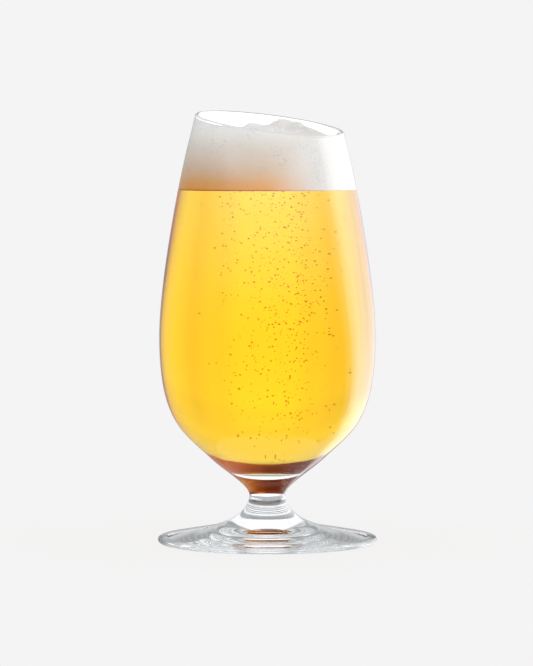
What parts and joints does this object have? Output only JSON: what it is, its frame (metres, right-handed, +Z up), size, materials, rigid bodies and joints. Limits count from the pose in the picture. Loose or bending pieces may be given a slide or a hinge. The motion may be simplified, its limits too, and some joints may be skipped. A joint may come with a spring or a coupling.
{
  "type": "beer glass",
  "caption": "Stemmed beer glass with a slanted mouth and a round foot, filled with golden lager under a white head of foam.",
  "frame": {"origin": "centre of the foot, on the surface that the glass stands on", "axes": "+Z up along the glass's axis, +X towards the low side of the slanted mouth"},
  "size_m": [0.0788, 0.0788, 0.1552],
  "materials": {
    "glass": "clear, fire-polished",
    "beer": "clear golden liquid",
    "foam": "soft white foam"
  },
  "bodies": {
    "root": {"glass": "glass", "beer": "beer", "foam_head": "foam"}
  },
  "joints": []
}
